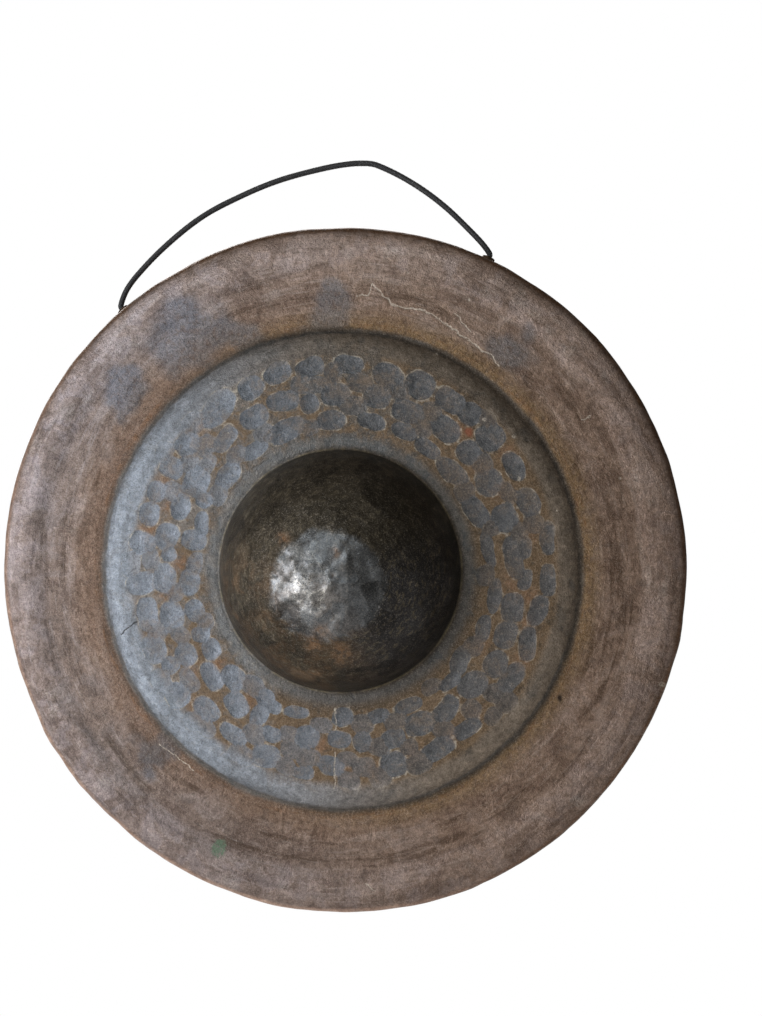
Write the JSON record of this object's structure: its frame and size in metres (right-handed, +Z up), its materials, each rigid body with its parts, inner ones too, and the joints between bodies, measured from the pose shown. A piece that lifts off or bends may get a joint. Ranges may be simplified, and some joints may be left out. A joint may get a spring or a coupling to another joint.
{
  "type": "bossed hanging gong",
  "caption": "Hand-beaten bronze gong with a domed central boss and a deep turned rim, hung from a thin braided cord through punched rim holes.",
  "frame": {"origin": "hang point: the underside of the cord's bight, where it bears on the hook; the gong's centre of mass hangs below it", "axes": "+Z up, plumb as hung; -Y is the way the struck face and boss look and +Y the way the open back looks; +X to the right seen from the front"},
  "size_m": [0.3499, 0.125, 0.3866],
  "materials": {
    "beaten_bronze": "hammered, dark aged patina, blue-grey on the worked faces and orange-brown in the crevices",
    "braided_sheath": "tight black braid with grey flecks",
    "core_yarn": "parallel yarns",
    "melted_end": "melted and set"
  },
  "bodies": {
    "hook_bight": {"cord_bight": "braided_sheath", "core_bight": "core_yarn"},
    "cord_legs": {"cord_leg_left": "braided_sheath", "core_leg_left": "core_yarn", "cord_leg_right": "braided_sheath", "core_leg_right": "core_yarn"},
    "gong": {"gong_body": "beaten_bronze", "cord_stub_left": "braided_sheath", "core_stub_left": "core_yarn", "cord_stub_right": "braided_sheath", "core_stub_right": "core_yarn", "stopper_knot_left": "braided_sheath", "stopper_knot_right": "braided_sheath", "cord_tail_left": "braided_sheath", "core_tail_left": "core_yarn", "cord_tail_right": "braided_sheath", "core_tail_right": "core_yarn", "sealed_tip_left": "melted_end", "sealed_tip_right": "melted_end"}
  },
  "joints": [
    {"name": "loop_swing", "type": "hinge", "parent": "hook_bight", "child": "cord_legs", "pos_m": [0, 0, 0], "axis": [1, 0, 0], "range_deg": [-40, 40]},
    {"name": "gong_tilt", "type": "hinge", "parent": "cord_legs", "child": "gong", "pos_m": [-0.02908, 0, -0.06106], "axis": [0.9811, 0, 0.1934], "range_deg": [-55, 55]}
  ]
}
